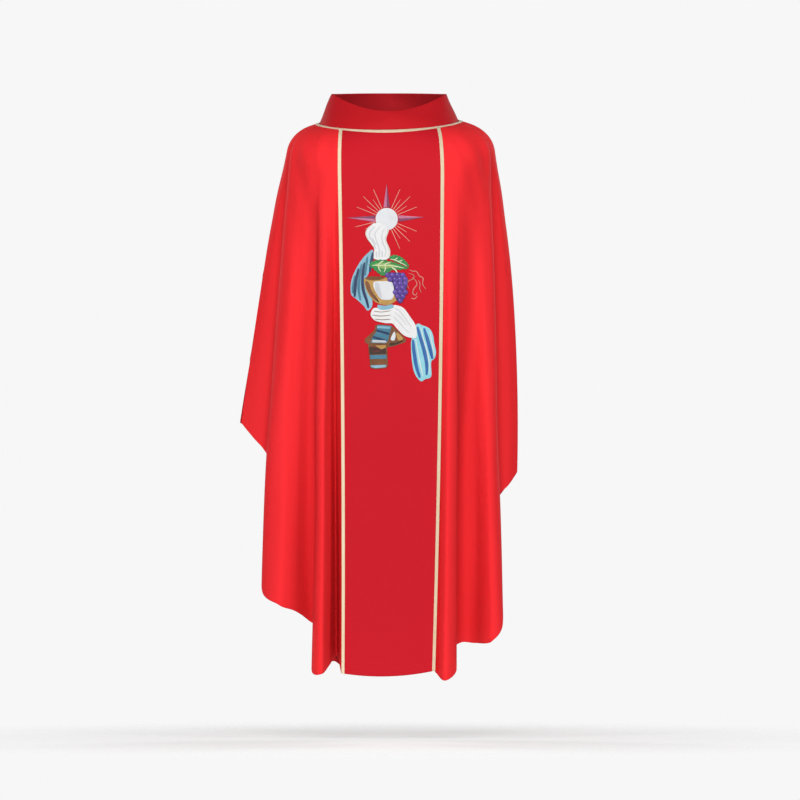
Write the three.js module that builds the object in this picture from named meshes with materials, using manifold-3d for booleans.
// A Gothic-style chasuble hanging as worn: a closed loop of cloth round the body, joined over
// the shoulders, open at the sides below the wing tips, with a stand-up collar, a flat band
// (orphrey) down the middle of the front and of the back, gold braid and an embroidered emblem.
// Millimetres, +Z up. The origin is the centre of the neck opening, level with the ends of the
// neck seam on the shoulders. The front faces -Y, and "right" is the side at +X.

import * as THREE from 'three';
import Module from 'manifold-3d';
import { mergeVertices } from 'three/addons/utils/BufferGeometryUtils.js';

const wasm = await Module();
wasm.setup();

// ---------- driving dimensions ----------

const clothThickness = 1.6;
const pieceGap = 0.3;
const seamGap = 0.6;
const trimThickness = 1.0;
const facingThickness = 0.6;

const neckHalfWidth = 156;
const neckHalfDepth = 115;
const neckFrontDrop = 20;
const neckBackRise = 12;
const neckTilt = 0.02;
const neckLift = 1.2;
const neckClearance = 2.5;

const chestFront = 150;
const chestBack = 150;
const chestFrontDrop = 130;
const chestBackDrop = 112;
const shoulderDrop = 65;
const shoulderLeft = 231;
const shoulderRight = 240;

const bodyLength = 1250;
const hangLevel = -bodyLength;
const braidWidth = 8;
const facingWidth = 25;

// The orphreys' edges at -X and at +X: how far out they are at the neck, at the chest line and
// at the hang level, and how far above the body length each corner of the hems ends.
const orphrey = {
  neck: [112, 114],
  chest: [115, 124.5],
  hang: [107, 104],
  sway: 3.5,
  frontRise: [7, 13],
  backRise: [14, 18],
  hemSag: 10,
};

// The line down from each shoulder to the tip of the wing.
const wing = {
  left: { flare: 129, bow: 35, rise: 570 },
  right: { flare: 13, bow: 45, rise: 459 },
};

const collar = {
  topHalfWidth: 129,
  topHalfDepth: 96,
  topPointedness: 1.45,
  sideHeight: 65,
  frontHeight: 24,
  backHeight: 69,
  bulge: 4,
  outerThickness: 1.2,
  interfacingThickness: 0.8,
  foldDepth: 3,
};

// The drape of each quarter, between the orphrey seam and the shoulder line. Each entry is one
// line down the cloth: where it leaves the shoulder (degrees round from the seam to the
// shoulder line), how far it would flare outward and hang back from there at hangLevel, how
// far it bows outward half way, how far above the body length its hem ends, and how far a fold
// that starts on the shoulder already tucks the cloth in at the shoulder edge.
const frontLeftDrape = [
  { leaves: 4, flare: -5, back: 90, bow: 0, rise: 46, tuck: 0 },
  { leaves: 9, flare: 0, back: 30, bow: 0, rise: 24, tuck: 0 },
  { leaves: 14, flare: 7, back: -20, bow: 0, rise: 6, tuck: 0 },
  { leaves: 19, flare: 21, back: 4, bow: 0, rise: 14, tuck: 0 },
  { leaves: 25, flare: -2, back: 86, bow: 0, rise: 100, tuck: 0 },
  { leaves: 32, flare: 6, back: 89, bow: 0, rise: 124, tuck: 0 },
  { leaves: 42, flare: 21, back: 33, bow: 4, rise: 146, tuck: 0 },
  { leaves: 52, flare: 44, back: -20, bow: 8, rise: 160, tuck: -2 },
  { leaves: 62, flare: 71, back: -6, bow: 14, rise: 192, tuck: -5 },
  { leaves: 68, flare: 57, back: 20, bow: 10, rise: 290, tuck: 10 },
  { leaves: 74, flare: 19, back: 19, bow: 12, rise: 420, tuck: 17 },
  { leaves: 80, flare: 43, back: 0, bow: 26, rise: 498, tuck: 9 },
  { leaves: 85, flare: 81, back: -7, bow: 32, rise: 536, tuck: 2 },
];

const frontRightDrape = [
  { leaves: 3, flare: -21, back: 10, bow: 0, rise: 4, tuck: 0 },
  { leaves: 8, flare: -13, back: -17, bow: 0, rise: -9, tuck: 0 },
  { leaves: 14, flare: 0, back: 6, bow: 0, rise: 14, tuck: 0 },
  { leaves: 20, flare: -22, back: 45, bow: 0, rise: 56, tuck: 0 },
  { leaves: 28, flare: -16, back: 92, bow: 0, rise: 74, tuck: 0 },
  { leaves: 38, flare: 0, back: 76, bow: 0, rise: 73, tuck: 0 },
  { leaves: 50, flare: 19, back: 0, bow: 0, rise: 77, tuck: -1 },
  { leaves: 60, flare: 36, back: -7, bow: 0, rise: 118, tuck: -4 },
  { leaves: 67, flare: 21, back: 15, bow: 4, rise: 220, tuck: 10 },
  { leaves: 74, flare: -10, back: 15, bow: 4, rise: 350, tuck: 17 },
  { leaves: 80, flare: -10, back: 0, bow: 22, rise: 405, tuck: 9 },
  { leaves: 85, flare: -2, back: -7, bow: 36, rise: 430, tuck: 2 },
];

const backLeftDrape = [
  { leaves: 6, flare: -3, back: 41, bow: 0, rise: 28, tuck: 0 },
  { leaves: 13, flare: 7, back: -12, bow: 0, rise: 24, tuck: 0 },
  { leaves: 20, flare: 9, back: -9, bow: 0, rise: 62, tuck: 0 },
  { leaves: 28, flare: -1, back: 40, bow: 0, rise: 140, tuck: 0 },
  { leaves: 38, flare: 22, back: 34, bow: 2, rise: 160, tuck: 0 },
  { leaves: 49, flare: 37, back: -14, bow: 6, rise: 185, tuck: -2 },
  { leaves: 60, flare: 57, back: -9, bow: 12, rise: 222, tuck: -4 },
  { leaves: 68, flare: 41, back: 12, bow: 16, rise: 330, tuck: 9 },
  { leaves: 76, flare: 30, back: 10, bow: 22, rise: 460, tuck: 12 },
  { leaves: 83, flare: 62, back: -6, bow: 30, rise: 530, tuck: 5 },
];

const backRightDrape = [
  { leaves: 6, flare: -13, back: 37, bow: 0, rise: 28, tuck: 0 },
  { leaves: 13, flare: -10, back: -14, bow: 0, rise: 26, tuck: 0 },
  { leaves: 21, flare: -20, back: 2, bow: 0, rise: 60, tuck: 0 },
  { leaves: 29, flare: -28, back: 45, bow: 0, rise: 96, tuck: 0 },
  { leaves: 39, flare: -5, back: 35, bow: 0, rise: 100, tuck: 0 },
  { leaves: 50, flare: 11, back: -10, bow: 0, rise: 130, tuck: -2 },
  { leaves: 60, flare: 23, back: -9, bow: 2, rise: 176, tuck: -4 },
  { leaves: 68, flare: 8, back: 14, bow: 6, rise: 270, tuck: 9 },
  { leaves: 76, flare: -13, back: 10, bow: 16, rise: 374, tuck: 12 },
  { leaves: 83, flare: -7, back: -4, bow: 32, rise: 422, tuck: 5 },
];

// The emblem's outlines are drawn from the centre of its disc.
const emblem = {
  discAcross: -5,
  discBelowChest: 91,
  discRadius: 25,
  rayClearance: 1.5,
  rayRing: 1.5,
  longRay: 73,
  shortRay: 54,
  rayStep: 11,
  layerThickness: 0.5,
  grapeRadius: 6.6,
  bunchTop: [24, -131],
  stemClearance: 2,
};

// ---------- colours and finishes ----------

const finishes = {
  cloth: { color: 0xe22d33, roughness: 0.62, metalness: 0 },
  band: { color: 0xd2222e, roughness: 0.7, metalness: 0 },
  collarCloth: { color: 0xc81a22, roughness: 0.7, metalness: 0 },
  interfacing: { color: 0xe9e4d8, roughness: 0.9, metalness: 0 },
  tape: { color: 0xb8202a, roughness: 0.85, metalness: 0 },
  braid: { color: 0xe0b983, roughness: 0.42, metalness: 0.35 },
  silver: { color: 0xdadcdc, roughness: 0.4, metalness: 0.2 },
  mauve: { color: 0x8d4468, roughness: 0.45, metalness: 0 },
  rayThread: { color: 0xe08d7e, roughness: 0.5, metalness: 0 },
  cream: { color: 0xece3d2, roughness: 0.5, metalness: 0 },
  teal: { color: 0x78aab9, roughness: 0.48, metalness: 0 },
  skyBlue: { color: 0x7cc6df, roughness: 0.48, metalness: 0 },
  leafGreen: { color: 0x2f8f4a, roughness: 0.48, metalness: 0 },
  grape: { color: 0x5b2c86, roughness: 0.45, metalness: 0 },
  tendril: { color: 0xc98a6c, roughness: 0.5, metalness: 0 },
  goldBrown: { color: 0x9a6a35, roughness: 0.45, metalness: 0.1 },
  goldLight: { color: 0xc79a55, roughness: 0.42, metalness: 0.15 },
};

const garment = new THREE.Group();

function material(finish) {
  return new THREE.MeshStandardMaterial({ ...finishes[finish], name: finish });
}

function addPiece(name, geometry, finish) {
  const mesh = new THREE.Mesh(geometry, material(finish));
  mesh.name = name;
  garment.add(mesh);
  return mesh;
}

const lerp = THREE.MathUtils.lerp;

// ---------- lines down the cloth ----------

// A point of the neck seam at an angle round the neck, 0 at the front and 90 at +X.
function neckPoint(degrees) {
  const angle = THREE.MathUtils.degToRad(degrees);
  const towardsFront = Math.cos(angle);
  const rise = towardsFront > 0 ? -neckFrontDrop : neckBackRise;
  const x = neckHalfWidth * Math.sin(angle);
  const z = rise * Math.abs(towardsFront) + neckLift + neckTilt * x;
  return new THREE.Vector3(x, -neckHalfDepth * towardsFront, z);
}

// One line down the cloth: over the shoulder on a cubic curve from the neck seam to the edge
// where the cloth leaves the body, and then straight down with a bow. Its place is 0 at the
// neck, 1 at the shoulder edge and 2 at the hem.
function clothLine(neck, edge, low, bow, hem) {
  const drop = neck.z - edge.z;
  const fall = edge.z - low.z;
  const startTangent = low.clone().sub(edge).add(bow.clone().multiplyScalar(4));
  const over = new THREE.CubicBezierCurve3(
    neck,
    new THREE.Vector3(lerp(neck.x, edge.x, 0.5), lerp(neck.y, edge.y, 0.5), neck.z - 0.1 * drop),
    edge.clone().addScaledVector(startTangent, -0.6 * drop / fall),
    edge,
  );
  const neckSpeed = 3 * over.v1.distanceTo(neck);
  const hemShare = (edge.z - hem) / fall;
  const at = (place) => {
    if (place <= 1) return over.getPoint(place);
    const share = (place - 1) * hemShare;
    return edge.clone().lerp(low, share).addScaledVector(bow, 4 * share * (1 - share));
  };
  const facingShare = facingWidth / (edge.z - hem);
  return { at, neckSpeed, facingShare };
}

// The lines of a band of orphrey, by share of its width from -X to +X.
function orphreyLine(share, front) {
  const facing = front ? -1 : 1;
  const across = ([left, right]) => lerp(-left, right, share);
  const x = across(orphrey.neck);
  const angle = THREE.MathUtils.radToDeg(Math.asin(x / neckHalfWidth));
  const neck = neckPoint(front ? angle : 180 - angle);
  const depth = front ? chestFront : chestBack;
  const drop = front ? chestFrontDrop : chestBackDrop;
  const edge = new THREE.Vector3(across(orphrey.chest), facing * depth, -drop);
  const low = new THREE.Vector3(across(orphrey.hang), facing * depth, hangLevel);
  const [leftRise, rightRise] = front ? orphrey.frontRise : orphrey.backRise;
  const sag = orphrey.hemSag * 4 * share * (1 - share);
  const hem = hangLevel + lerp(leftRise, rightRise, share) - sag;
  return clothLine(neck, edge, low, new THREE.Vector3(orphrey.sway, 0, 0), hem);
}

// A quarter's drape with the lines that it shares: the orphrey seam and the shoulder line.
function wholeDrape(entries, right, front) {
  const end = right ? 1 : 0;
  const rises = front ? orphrey.frontRise : orphrey.backRise;
  const flare = orphrey.hang[end] - orphrey.chest[end];
  const seam = { leaves: 0, flare, back: 0, bow: 0, rise: rises[end], tuck: 0 };
  const tip = { leaves: 90, back: 0, tuck: 0, ...(right ? wing.right : wing.left) };
  return [seam, ...entries, tip];
}

// A value of a drape between its entries, on a smooth curve through them.
function drapeValue(drape, key, place) {
  const last = drape.length - 1;
  const i = Math.min(Math.floor(place), last - 1);
  const at = (k) => drape[Math.min(Math.max(k, 0), last)][key];
  const t = place - i;
  const startSlope = (at(i + 1) - at(i - 1)) / 2;
  const endSlope = (at(i + 2) - at(i)) / 2;
  const rise = at(i + 1) - at(i);
  return at(i) + t * (startSlope
    + t * (3 * rise - 2 * startSlope - endSlope + t * (startSlope + endSlope - 2 * rise)));
}

function drapeLine(drape, place, right, front) {
  const value = (key) => drapeValue(drape, key, place);
  const side = right ? 1 : -1;
  const facing = front ? -1 : 1;
  const share = value('leaves') / 90;
  const turn = share * Math.PI / 2;
  const end = right ? 1 : 0;
  const seamAngle = THREE.MathUtils.radToDeg(Math.asin(orphrey.neck[end] / neckHalfWidth));
  const angle = lerp(seamAngle, 90, share);
  const neck = neckPoint(side * (front ? angle : 180 - angle));
  const shoulder = right ? shoulderRight : shoulderLeft;
  const depth = front ? chestFront : chestBack;
  const drop = front ? chestFrontDrop : chestBackDrop;
  const tuck = value('tuck');
  const leaveX = lerp(orphrey.chest[end], shoulder, Math.sin(turn));
  const leaveY = depth * Math.cos(turn);
  const edge = new THREE.Vector3(
    side * (leaveX - tuck * Math.sin(turn)),
    facing * (leaveY - tuck * Math.cos(turn)),
    -lerp(drop, shoulderDrop, Math.sin(turn) ** 1.5),
  );
  const low = new THREE.Vector3(
    side * (leaveX + value('flare')),
    facing * (leaveY - value('back')),
    hangLevel,
  );
  const nearSeam = Math.max(0, 1 - place);
  const bow = new THREE.Vector3(side * value('bow') + orphrey.sway * nearSeam, 0, 0);
  return clothLine(neck, edge, low, bow, hangLevel + value('rise'));
}

// ---------- the net of cloth, round the whole body ----------

const braidShare = braidWidth / (orphrey.chest[0] + orphrey.chest[1]);
const orphreyShares = [
  0, braidShare, 0.14, 0.26, 0.38, 0.5, 0.62, 0.74, 0.86, 1 - braidShare, 1,
];
const stepsPerEntry = 2;
const yokePlaces = [0.3, 0.52, 0.76, 1];
const hangSteps = 5;

function quarterLines(entries, right, front) {
  const drape = wholeDrape(entries, right, front);
  const count = (drape.length - 1) * stepsPerEntry;
  return Array.from({ length: count + 1 },
    (_, k) => drapeLine(drape, k / stepsPerEntry, right, front));
}

// Going round from the front left orphrey seam towards +X and back; seams are shared lines.
const netLines = [];
const netRange = {};

function addToNet(name, lines) {
  const start = Math.max(netLines.length - 1, 0);
  netLines.push(...(netLines.length ? lines.slice(1) : lines));
  netRange[name] = [start, netLines.length - 1];
}

addToNet('frontOrphrey', orphreyShares.map((share) => orphreyLine(share, true)));
addToNet('frontRight', quarterLines(frontRightDrape, true, true));
addToNet('backRight', quarterLines(backRightDrape, true, false).reverse());
addToNet('backOrphrey', orphreyShares.map((share) => orphreyLine(share, false)).reverse());
addToNet('backLeft', quarterLines(backLeftDrape, false, false));
addToNet('frontLeft', quarterLines(frontLeftDrape, false, true).reverse());
netLines.pop();
const around = netLines.length;

function placesOf(line) {
  const places = [
    neckClearance / line.neckSpeed,
    (neckClearance + braidWidth) / line.neckSpeed,
    ...yokePlaces,
  ];
  for (let k = 1; k <= hangSteps; k += 1) {
    places.push(1 + (k / hangSteps) * (1 - line.facingShare));
  }
  places.push(2);
  return places;
}

const net = netLines.map((line) => placesOf(line).map((place) => line.at(place)));
const rowCount = net[0].length;
const braidRow = 1;
const shoulderRow = braidRow + yokePlaces.length;
const facingRow = rowCount - 2;
const hemRow = rowCount - 1;

// The outward direction at a corner of a closed net, lengthened so that a slab keeps its
// thickness round a fold. The net's lines run downwards and follow each other round the body.
function outward(lines, column, row) {
  const count = lines.length;
  const before = lines[(column - 1 + count) % count];
  const after = lines[(column + 1) % count];
  const here = lines[column];
  const below = here[Math.min(row + 1, here.length - 1)];
  const down = below.clone().sub(here[Math.max(row - 1, 0)]);
  const normalOf = (a, b) => down.clone().cross(b.clone().sub(a)).normalize();
  const first = normalOf(before[row], here[row]);
  const second = normalOf(here[row], after[row]);
  const stretch = Math.max(1 + first.dot(second), 0.25);
  return first.add(second).divideScalar(stretch);
}

function outwardOf(lines) {
  return lines.map((line, column) => line.map((_, row) => outward(lines, column, row)));
}

const outwardNet = outwardOf(net);

// ---------- slabs of cloth on the net ----------

function moveTowards(point, other, distance) {
  return point.clone().addScaledVector(other.clone().sub(point).normalize(), distance);
}

// How far a corner moves along the cloth at a seam, to leave a gap square to the fold there.
function seamStep(column, row, gap) {
  const here = net[column % around][row];
  const before = net[(column - 1 + around) % around][row];
  const after = net[(column + 1) % around][row];
  const comes = here.clone().sub(before).normalize();
  const leaves = after.clone().sub(here).normalize();
  return gap / Math.max(comes.clone().add(leaves).normalize().dot(comes), 0.3);
}

// The corners of a stretch of the net, drawn in by a gap at the edges that meet neighbours.
function stretchOfNet(columns, rows, gaps) {
  const corners = columns.map((column) => rows.map((row) => ({
    at: net[column % around][row].clone(),
    out: outwardNet[column % around][row],
  })));
  const inset = (edge, next, gapOf) => edge.forEach((corner, k) => {
    corner.at = moveTowards(corner.at, next[k].at, gapOf(k));
  });
  if (gaps.sides) {
    inset(corners[0], corners[1], (k) => seamStep(columns[0], rows[k], gaps.sides));
    inset(corners.at(-1), corners.at(-2), (k) => seamStep(columns.at(-1), rows[k], gaps.sides));
  }
  const rowOf = (k) => corners.map((line) => line.at(k));
  if (gaps.top) inset(rowOf(0), rowOf(1), () => gaps.top);
  if (gaps.bottom) inset(rowOf(-1), rowOf(-2), () => gaps.bottom);
  return corners;
}

function slab(corners, innerFace, outerFace, ring = false) {
  const wide = corners.length;
  const high = corners[0].length;
  const positions = [];
  for (const offset of [outerFace, innerFace]) {
    for (const line of corners) {
      for (const { at, out } of line) positions.push(...at.clone().addScaledVector(out, offset));
    }
  }
  const vertex = (face, i, j) => (face * wide + (i % wide)) * high + j;
  const faces = [];
  const quad = (a, b, c, d) => faces.push(a, b, c, a, c, d);
  const lastColumn = ring ? wide : wide - 1;
  for (let i = 0; i < lastColumn; i += 1) {
    for (let j = 0; j < high - 1; j += 1) {
      quad(vertex(0, i, j), vertex(0, i, j + 1), vertex(0, i + 1, j + 1), vertex(0, i + 1, j));
      quad(vertex(1, i, j), vertex(1, i + 1, j), vertex(1, i + 1, j + 1), vertex(1, i, j + 1));
    }
    const end = high - 1;
    quad(vertex(0, i, 0), vertex(0, i + 1, 0), vertex(1, i + 1, 0), vertex(1, i, 0));
    quad(vertex(0, i + 1, end), vertex(0, i, end), vertex(1, i, end), vertex(1, i + 1, end));
  }
  if (!ring) {
    const end = wide - 1;
    for (let j = 0; j < high - 1; j += 1) {
      quad(vertex(0, 0, j + 1), vertex(0, 0, j), vertex(1, 0, j), vertex(1, 0, j + 1));
      quad(vertex(0, end, j), vertex(0, end, j + 1), vertex(1, end, j + 1), vertex(1, end, j));
    }
  }
  const geometry = new THREE.BufferGeometry();
  geometry.setAttribute('position', new THREE.Float32BufferAttribute(positions, 3));
  geometry.setIndex(faces);
  geometry.computeVertexNormals();
  return geometry;
}

function span(from, to, step = 1) {
  const list = [];
  for (let k = from; k < to; k += step) list.push(k);
  return [...list, to];
}

const halfCloth = clothThickness / 2;
const onCloth = halfCloth + pieceGap;
const seamInset = { sides: seamGap / 2 };

// ---------- body cloth, hem facings and seam tapes ----------

function bodyCloth() {
  const allRows = span(0, hemRow);
  const hemRows = [facingRow, hemRow];
  const hemInset = { sides: pieceGap, bottom: pieceGap };
  const pieces = [
    ['front_panel_left', 'front_hem_facing_left', 'frontLeft', 'cloth'],
    ['front_panel_right', 'front_hem_facing_right', 'frontRight', 'cloth'],
    ['back_panel_left', 'back_hem_facing_left', 'backLeft', 'cloth'],
    ['back_panel_right', 'back_hem_facing_right', 'backRight', 'cloth'],
    ['front_orphrey', 'front_orphrey_hem_facing', 'frontOrphrey', 'band'],
    ['back_orphrey', 'back_orphrey_hem_facing', 'backOrphrey', 'band'],
  ];
  for (const [name, facingName, range, finish] of pieces) {
    const columns = span(...netRange[range]);
    addPiece(name, slab(stretchOfNet(columns, allRows, seamInset), -halfCloth, halfCloth), finish);
    const facing = stretchOfNet(columns, hemRows, hemInset);
    addPiece(facingName, slab(facing, -onCloth - facingThickness, -onCloth), finish);
  }
}

function seamTapes() {
  const inner = -onCloth - facingThickness;
  const belowNeckTape = span(braidRow, shoulderRow);
  for (const [side, range] of [['right', 'frontRight'], ['left', 'backLeft']]) {
    const ridge = netRange[range][1];
    const corners = stretchOfNet(span(ridge - 2, ridge + 2), belowNeckTape, { top: pieceGap });
    addPiece(`shoulder_seam_tape_${side}`, slab(corners, inner, -onCloth), 'tape');
  }
  const neck = stretchOfNet(span(0, around - 1), [0, braidRow], {});
  addPiece('neck_seam_tape', slab(neck, inner, -onCloth, true), 'tape');
}

// ---------- braid ----------

function braids() {
  const top = onCloth + trimThickness;
  const below = span(braidRow, hemRow);
  const inset = { sides: pieceGap / 2, top: pieceGap };
  for (const [side, range] of [['front', 'frontOrphrey'], ['back', 'backOrphrey']]) {
    const [start, end] = netRange[range];
    const ends = { start: [start, start + 1], end: [end - 1, end] };
    const left = side === 'front' ? ends.start : ends.end;
    const right = side === 'front' ? ends.end : ends.start;
    addPiece(`${side}_braid_left`, slab(stretchOfNet(left, below, inset), onCloth, top), 'braid');
    addPiece(`${side}_braid_right`, slab(stretchOfNet(right, below, inset), onCloth, top), 'braid');
  }
  const ring = stretchOfNet(span(0, around - 1), [0, braidRow], {});
  addPiece('neck_braid', slab(ring, onCloth, top, true), 'braid');
}

// ---------- collar ----------

function collarTop(degrees) {
  const angle = THREE.MathUtils.degToRad(degrees);
  const power = 2 / collar.topPointedness;
  const across = Math.sign(Math.sin(angle)) * Math.abs(Math.sin(angle)) ** power;
  const towardsFront = Math.sign(Math.cos(angle)) * Math.abs(Math.cos(angle)) ** power;
  const middle = towardsFront > 0 ? collar.frontHeight : collar.backHeight;
  const lift = across ** 2;
  return new THREE.Vector3(
    collar.topHalfWidth * across,
    -collar.topHalfDepth * towardsFront,
    lerp(middle, collar.sideHeight, lift),
  );
}

// The collar's net runs from its top edge down to the neck seam.
function collarNet() {
  const columns = 40;
  const lines = Array.from({ length: columns }, (_, k) => {
    const degrees = 360 * k / columns;
    const base = neckPoint(degrees);
    const top = collarTop(degrees);
    const swell = new THREE.Vector3(0, Math.sign(base.y) * collar.bulge, 0)
      .multiplyScalar((base.y / neckHalfDepth) ** 2);
    const foldShare = collar.foldDepth / base.distanceTo(top);
    return [0, foldShare, 0.34, 0.67, 1].map((share) => top.clone().lerp(base, share)
      .addScaledVector(swell, 4 * share * (1 - share)));
  });
  const out = outwardOf(lines);
  return lines.map((line, i) => line.map((at, j) => ({ at, out: out[i][j] })));
}

function collarPieces() {
  const { outerThickness, interfacingThickness } = collar;
  const interfacingOuter = -pieceGap;
  const interfacingInner = interfacingOuter - interfacingThickness;
  const facingOuter = interfacingInner - pieceGap;
  const whole = collarNet();
  const belowFold = whole.map((line) => line.slice(1));
  addPiece('collar_outer', slab(whole, 0, outerThickness, true), 'collarCloth');
  addPiece('collar_interfacing',
    slab(belowFold, interfacingInner, interfacingOuter, true), 'interfacing');
  addPiece('collar_facing',
    slab(whole, facingOuter - outerThickness, facingOuter, true), 'collarCloth');
}

// ---------- embroidered emblem, in layers of stitching on the flat front orphrey ----------

// Puts a piece of the emblem at its place, with its back on a layer of stitching.
function placeOnOrphrey(mesh, layer) {
  mesh.position.set(
    emblem.discAcross,
    -(chestFront + onCloth + layer * (emblem.layerThickness + pieceGap)),
    -(chestFrontDrop + emblem.discBelowChest),
  );
}

function onOrphrey(name, shape, layer, finish, curveSegments = 6) {
  const depth = emblem.layerThickness;
  const geometry = new THREE.ExtrudeGeometry(shape, { depth, bevelEnabled: false, curveSegments });
  const mesh = addPiece(name, geometry, finish);
  mesh.rotation.x = Math.PI / 2;
  placeOnOrphrey(mesh, layer);
  return mesh;
}

function smoothOutline(points, samples) {
  const loop = points.map(([x, z]) => new THREE.Vector3(x, z, 0));
  const curve = new THREE.CatmullRomCurve3(loop, true, 'centripetal');
  const outline = curve.getPoints(samples).slice(0, -1);
  return new THREE.Shape(outline.map(({ x, y }) => new THREE.Vector2(x, y)));
}

function straightOutline(points) {
  return new THREE.Shape(points.map(([x, z]) => new THREE.Vector2(x, z)));
}

function polar(radius, degrees) {
  const angle = THREE.MathUtils.degToRad(degrees);
  return [radius * Math.cos(angle), radius * Math.sin(angle)];
}

function discAndRays() {
  const { discRadius, rayClearance, rayRing, longRay, shortRay, rayStep } = emblem;
  const disc = new THREE.Shape().absarc(0, 0, discRadius, 0, 2 * Math.PI);
  onOrphrey('emblem_disc', disc, 0, 'silver', 24);

  const raysFrom = discRadius + rayClearance;
  const rayRoot = raysFrom + rayRing;
  const sectors = [
    { start: 22, count: 5 },
    { start: 114, count: 5 },
    { start: 194, count: 2 },
    { start: 294, count: 5 },
  ];
  const outline = [];
  sectors.forEach(({ start, count }, sector) => {
    for (let k = 0; k < count; k += 1) {
      const angle = start + rayStep * k;
      const length = k % 2 ? shortRay : longRay;
      outline.push(polar(rayRoot, angle - 2), polar(length, angle - 0.4));
      outline.push(polar(length, angle + 0.4), polar(rayRoot, angle + 2));
    }
    const next = sector + 1 < sectors.length ? sectors[sector + 1].start : sectors[0].start + 360;
    const last = start + rayStep * (count - 1);
    for (let angle = last + rayStep; angle < next - rayStep / 2; angle += rayStep) {
      outline.push(polar(rayRoot, angle));
    }
  });
  const fineRays = straightOutline(outline);
  fineRays.holes.push(new THREE.Path().absarc(0, 0, raysFrom, 0, 2 * Math.PI, true));
  onOrphrey('emblem_fine_rays', fineRays, 0, 'rayThread', 24);

  const starRays = [
    ['emblem_star_ray_top', 90, 79],
    ['emblem_star_ray_right', 3, 84],
    ['emblem_star_ray_left', 178, 89],
  ];
  const halfRoot = 16;
  for (const [name, angle, length] of starRays) {
    const kite = [
      polar(raysFrom, angle - halfRoot), polar(length, angle), polar(raysFrom, angle + halfRoot),
    ];
    onOrphrey(name, straightOutline(kite), 1, 'mauve');
  }
}

function handsAndVeils() {
  const raisedHand = smoothOutline([
    [-23, -10], [-35, -19], [-48, -34], [-39, -50], [-28, -65], [-27, -87], [3, -88],
    [9, -70], [0, -47], [5, -25], [-4, -22], [-9, -17],
  ], 30);
  onOrphrey('emblem_raised_hand', raisedHand, 1, 'cream');

  const leftVeil = smoothOutline([
    [-31, -69], [-43, -79], [-56, -93], [-71, -116], [-81, -144], [-80, -169], [-64, -190],
    [-47, -205], [-35, -196], [-42, -172], [-53, -141], [-37, -127], [-41, -105], [-32, -91],
  ], 34);
  onOrphrey('emblem_left_veil', leftVeil, 0, 'teal');

  const lowerHand = smoothOutline([
    [-31, -201], [-36, -215], [-33, -224], [-21, -233], [9, -236], [19, -243], [33, -257],
    [47, -265], [63, -269], [66, -249], [59, -227], [44, -204], [31, -196], [14, -194],
    [-9, -207],
  ], 36);
  onOrphrey('emblem_lower_hand', lowerHand, 1, 'cream');

  const sleeve = smoothOutline([
    [69, -236], [84, -242], [97, -245], [104, -259], [110, -285], [110, -309], [100, -324],
    [101, -349], [89, -360], [74, -363], [63, -349], [58, -324], [56, -279], [67, -270],
  ], 34);
  onOrphrey('emblem_right_sleeve', sleeve, 0, 'skyBlue');
}

function chalice() {
  const cup = smoothOutline([
    [-50, -133], [-45, -160], [-31, -182], [-15, -192], [4, -194], [22, -184], [39, -163],
    [49, -135], [25, -130], [0, -129], [-25, -130],
  ], 30);
  onOrphrey('emblem_cup', cup, 1, 'goldBrown');
  const rim = smoothOutline([
    [-50, -133], [-35, -129], [-19, -129], [-4, -133], [-17, -138], [-37, -138],
  ], 16);
  onOrphrey('emblem_cup_rim', rim, 2, 'goldLight');
  const gleam = smoothOutline([
    [-41, -143], [-21, -143], [-11, -149], [-15, -164], [-23, -175], [-33, -167],
  ], 16);
  onOrphrey('emblem_cup_gleam', gleam, 2, 'silver');
  const wrap = smoothOutline([[-21, -193], [13, -192], [17, -200], [-3, -205], [-19, -202]], 16);
  onOrphrey('emblem_stem_wrap', wrap, 2, 'skyBlue');
  const foot = smoothOutline([
    [-23, -238], [-26, -247], [-37, -260], [-49, -271], [-45, -280], [-20, -286], [5, -288],
    [27, -283], [45, -274], [33, -259], [19, -246], [7, -239],
  ], 30);
  onOrphrey('emblem_foot', foot, 0, 'goldBrown');
}

function ribbon() {
  const upper = straightOutline([
    [-21, -238], [11, -240], [8, -259], [3, -276], [-3, -279], [-36, -278], [-32, -265],
    [-23, -253],
  ]);
  onOrphrey('emblem_ribbon_upper', upper, 1, 'teal');
  const end = straightOutline([
    [-42, -281], [1, -281], [3, -328], [0, -335], [-25, -338], [-37, -335], [-39, -309],
  ]);
  onOrphrey('emblem_ribbon_end', end, 1, 'goldBrown');
}

// Thin closed strip of even width along a line of points.
function strand(points, width) {
  const curve = new THREE.CatmullRomCurve3(points.map(([x, z]) => new THREE.Vector3(x, z, 0)));
  const steps = 12;
  const left = [];
  const right = [];
  for (let k = 0; k <= steps; k += 1) {
    const at = curve.getPoint(k / steps);
    const along = curve.getTangent(k / steps);
    const reach = width / 2;
    left.push([at.x - along.y * reach, at.y + along.x * reach]);
    right.unshift([at.x + along.y * reach, at.y - along.x * reach]);
  }
  return straightOutline([...right, ...left]);
}

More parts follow.
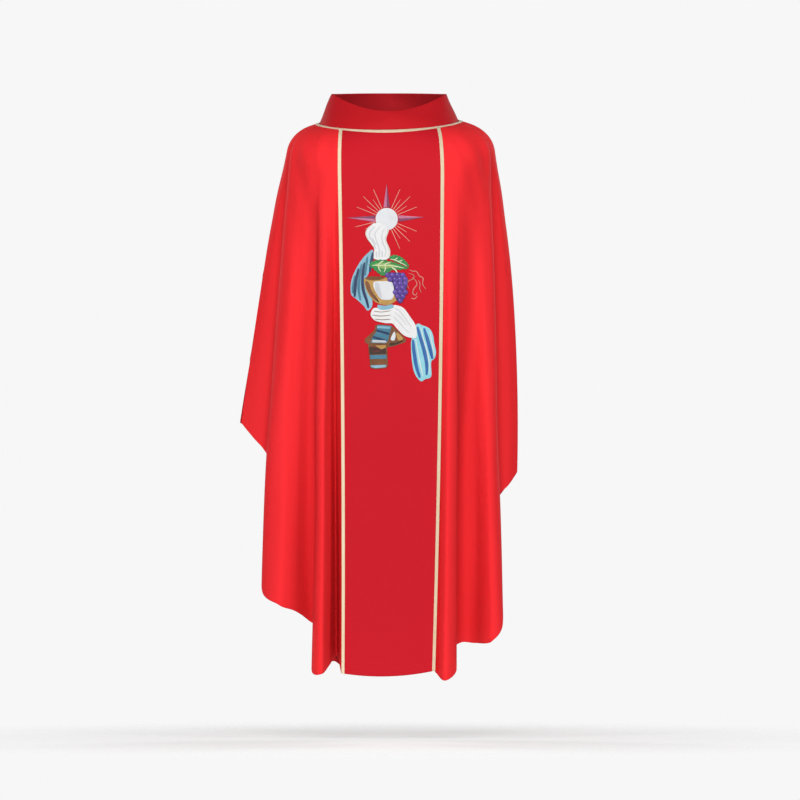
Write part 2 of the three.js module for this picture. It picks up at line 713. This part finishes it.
function vine() {
  const lowerLeaf = smoothOutline([
    [-38, -103], [-29, -95], [-16, -91], [1, -96], [23, -104], [39, -113], [9, -115],
    [-4, -126], [-14, -125], [-28, -114],
  ], 26);
  onOrphrey('emblem_leaf_lower', lowerLeaf, 2, 'leafGreen');
  const upperLeaf = smoothOutline([
    [6, -85], [19, -81], [31, -87], [41, -96], [50, -109], [31, -102], [15, -95],
  ], 20);
  onOrphrey('emblem_leaf_upper', upperLeaf, 2, 'leafGreen');

  const tendrils = [
    [[51, -115], [67, -118], [74, -128], [82, -133], [81, -146], [88, -157]],
    [[58, -131], [67, -146], [60, -159], [62, -171], [69, -163], [67, -177], [55, -177]],
  ];
  tendrils.forEach((points, k) => {
    onOrphrey(`emblem_tendril_${k + 1}`, strand(points, 2.4), 0, 'tendril');
  });
  const [bunchX, bunchZ] = emblem.bunchTop;
  const stemEnd = [bunchX + 1, bunchZ + emblem.grapeRadius + emblem.stemClearance];
  const stem = strand([[7, -107], [15, -110], [22, -115], stemEnd], 3);
  onOrphrey('emblem_vine_stem', stem, 3, 'tendril');
}

function solidOf(geometry) {
  const plain = geometry.clone();
  plain.deleteAttribute('normal');
  plain.deleteAttribute('uv');
  const merged = mergeVertices(plain, 1e-4);
  const vertProperties = new Float32Array(merged.attributes.position.array);
  const triVerts = new Uint32Array(merged.index.array);
  return new wasm.Manifold(new wasm.Mesh({ numProp: 3, vertProperties, triVerts }));
}

function geometryOf(solid) {
  const { numProp, vertProperties, triVerts } = solid.getMesh();
  const geometry = new THREE.BufferGeometry();
  geometry.setAttribute('position', new THREE.BufferAttribute(vertProperties, numProp));
  geometry.setIndex(new THREE.BufferAttribute(triVerts, 1));
  geometry.computeVertexNormals();
  return geometry;
}

// The bunch is round grapes in rows that narrow downwards, each row shifted by half a grape.
function grapes() {
  const { grapeRadius, layerThickness, bunchTop } = emblem;
  const pitch = grapeRadius * 1.75;
  const rows = [4, 5, 4, 3, 2, 1];
  let bunch = null;
  rows.forEach((count, row) => {
    for (let k = 0; k < count; k += 1) {
      const grape = new THREE.CylinderGeometry(grapeRadius, grapeRadius, layerThickness, 10);
      const x = bunchTop[0] + row + (k - (count - 1) / 2) * pitch;
      grape.translate(x, -layerThickness / 2, bunchTop[1] - row * pitch * 0.87);
      const solid = solidOf(grape);
      bunch = bunch ? bunch.add(solid) : solid;
    }
  });
  placeOnOrphrey(addPiece('emblem_grapes', geometryOf(bunch), 'grape'), 3);
}

bodyCloth();
seamTapes();
braids();
collarPieces();
discAndRays();
handsAndVeils();
chalice();
ribbon();
vine();
grapes();

export default garment;
